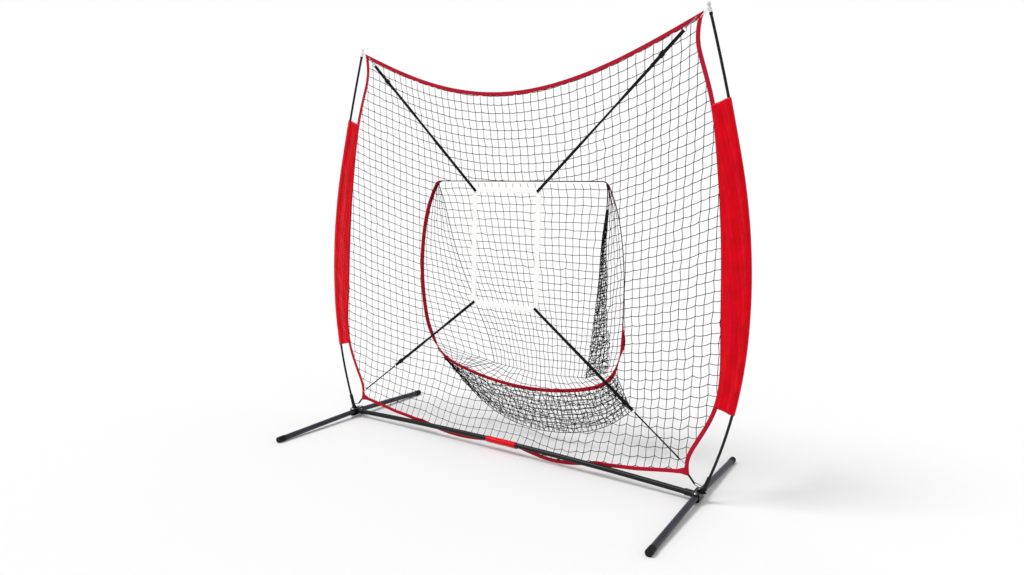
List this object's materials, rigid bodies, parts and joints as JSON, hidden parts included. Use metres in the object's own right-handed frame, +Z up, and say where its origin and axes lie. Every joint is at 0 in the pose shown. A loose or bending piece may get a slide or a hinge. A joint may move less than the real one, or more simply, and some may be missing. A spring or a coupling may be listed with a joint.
{
  "type": "pitching target net",
  "caption": "Free-standing throwing target: bow poles on a crossbar with folding legs stretch a net with a ball pocket behind a strapped strike-zone frame",
  "frame": {"origin": "on the ground, midway between the two hubs and midway between the front and rear feet", "axes": "+X along the crossbar to the right as seen by the thrower, +Y away from the thrower (the pocket bulges this way), +Z up"},
  "size_m": [2.4388, 1.1622, 2.1315],
  "materials": {
    "black_coated_tube": "satin powder coat",
    "charcoal_coated_tube": "satin powder coat",
    "black_rubber": "moulded end cap",
    "zinc_plated_steel": "zinc plate",
    "spring_steel": "bright strip",
    "black_fibreglass_rod": "pultruded rod",
    "ferrule_steel": "dull steel collar",
    "clear_plastic": "moulded, milky",
    "black_net_cord": "knotted cord net",
    "crimson_binding": "woven binding tape",
    "red_sleeve_cloth": "satin woven polyester",
    "white_webbing": "flat woven webbing",
    "black_webbing": "flat woven webbing",
    "white_elastic": "elastic cord",
    "black_elastic": "covered elastic cord",
    "black_moulded_plastic": "moulded"
  },
  "bodies": {
    "frame_and_net": {"hub_left": "black_coated_tube", "hub_right": "black_coated_tube", "crossbar_left": "black_coated_tube", "crossbar_right": "black_coated_tube", "crossbar_coupler": "zinc_plated_steel", "coupler_rivet": "zinc_plated_steel", "coupler_spring": "spring_steel", "hub_spring_left": "spring_steel", "hub_spring_right": "spring_steel", "pivot_bolts": "zinc_plated_steel", "pivot_nuts": "zinc_plated_steel", "pole_lower_left": "black_fibreglass_rod", "pole_lower_right": "black_fibreglass_rod", "pole_middle_left": "black_fibreglass_rod", "pole_middle_right": "black_fibreglass_rod", "pole_upper_left": "black_fibreglass_rod", "pole_upper_right": "black_fibreglass_rod", "pole_ferrules": "ferrule_steel", "pole_tip_caps": "clear_plastic", "net_top": "black_net_cord", "net_left": "black_net_cord", "net_right": "black_net_cord", "net_bottom": "black_net_cord", "top_hem": "crimson_binding", "bottom_hem": "crimson_binding", "side_hem_left": "crimson_binding", "side_hem_right": "crimson_binding", "pocket_rim": "crimson_binding", "pocket_back": "black_net_cord", "pocket_left": "black_net_cord", "pocket_right": "black_net_cord", "pocket_bottom": "black_net_cord", "side_sleeve_left": "red_sleeve_cloth", "side_sleeve_right": "red_sleeve_cloth", "top_corner_loops": "white_elastic", "hold_down_loops": "black_elastic", "hold_down_toggles": "black_moulded_plastic", "crossbar_wrap": "red_sleeve_cloth", "strike_zone_frame": "white_webbing", "upper_straps": "black_webbing", "lower_straps": "black_webbing", "strap_rings": "zinc_plated_steel", "corner_hooks": "zinc_plated_steel", "elastic_cords": "black_elastic"},
    "leg_rear_right": {"leg_rear_right": "charcoal_coated_tube", "leg_cap_rear_right": "black_rubber"},
    "leg_rear_left": {"leg_rear_left": "charcoal_coated_tube", "leg_cap_rear_left": "black_rubber"},
    "leg_front_right": {"leg_front_right": "charcoal_coated_tube", "leg_cap_front_right": "black_rubber"},
    "leg_front_left": {"leg_front_left": "charcoal_coated_tube", "leg_cap_front_left": "black_rubber"},
    "coupler_button": {"coupler_button": "zinc_plated_steel"},
    "hub_button_right": {"hub_button_right": "zinc_plated_steel"},
    "hub_button_left": {"hub_button_left": "zinc_plated_steel"},
    "strap_adjuster_upper_left": {"strap_adjuster_upper_left": "black_moulded_plastic"},
    "strap_adjuster_upper_right": {"strap_adjuster_upper_right": "black_moulded_plastic"},
    "strap_adjuster_lower_left": {"strap_adjuster_lower_left": "black_moulded_plastic"},
    "strap_adjuster_lower_right": {"strap_adjuster_lower_right": "black_moulded_plastic"}
  },
  "joints": [
    {"name": "leg_rear_right_fold", "type": "hinge", "parent": "frame_and_net", "child": "leg_rear_right", "pos_m": [1.042, 0.032, 0.033], "axis": [0, 0, 1], "range_deg": [0, 90]},
    {"name": "leg_rear_left_fold", "type": "hinge", "parent": "frame_and_net", "child": "leg_rear_left", "pos_m": [-1.042, 0.032, 0.033], "axis": [0, 0, -1], "range_deg": [0, 90]},
    {"name": "leg_front_right_fold", "type": "hinge", "parent": "frame_and_net", "child": "leg_front_right", "pos_m": [1.042, -0.032, 0.033], "axis": [0, 0, -1], "range_deg": [0, 90]},
    {"name": "leg_front_left_fold", "type": "hinge", "parent": "frame_and_net", "child": "leg_front_left", "pos_m": [-1.042, -0.032, 0.033], "axis": [0, 0, 1], "range_deg": [0, 90]},
    {"name": "coupler_button_press", "type": "slide", "parent": "frame_and_net", "child": "coupler_button", "axis": [-0.0054, 0, -1], "range_m": [0, 0.0045], "stiffness_N_per_m": 900, "springref_m": -0.001, "deforming": ["coupler_spring"]},
    {"name": "hub_button_right_press", "type": "slide", "parent": "frame_and_net", "child": "hub_button_right", "axis": [-0.0462, 0, -0.9989], "range_m": [0, 0.0045], "stiffness_N_per_m": 900, "springref_m": -0.001, "deforming": ["hub_spring_right"]},
    {"name": "hub_button_left_press", "type": "slide", "parent": "frame_and_net", "child": "hub_button_left", "axis": [0.0462, 0, -0.9989], "range_m": [0, 0.0045], "stiffness_N_per_m": 900, "springref_m": -0.001, "deforming": ["hub_spring_left"]},
    {"name": "strap_adjuster_upper_left_slide", "type": "slide", "parent": "frame_and_net", "child": "strap_adjuster_upper_left", "axis": [-0.7156, 0, 0.6985], "range_m": [-0.045, 0.1]},
    {"name": "strap_adjuster_upper_right_slide", "type": "slide", "parent": "frame_and_net", "child": "strap_adjuster_upper_right", "axis": [0.7156, 0, 0.6985], "range_m": [-0.045, 0.1]},
    {"name": "strap_adjuster_lower_left_slide", "type": "slide", "parent": "frame_and_net", "child": "strap_adjuster_lower_left", "axis": [-0.791, 0, -0.6118], "range_m": [-0.045, 0.018]},
    {"name": "strap_adjuster_lower_right_slide", "type": "slide", "parent": "frame_and_net", "child": "strap_adjuster_lower_right", "axis": [0.791, 0, -0.6118], "range_m": [-0.045, 0.018]}
  ]
}
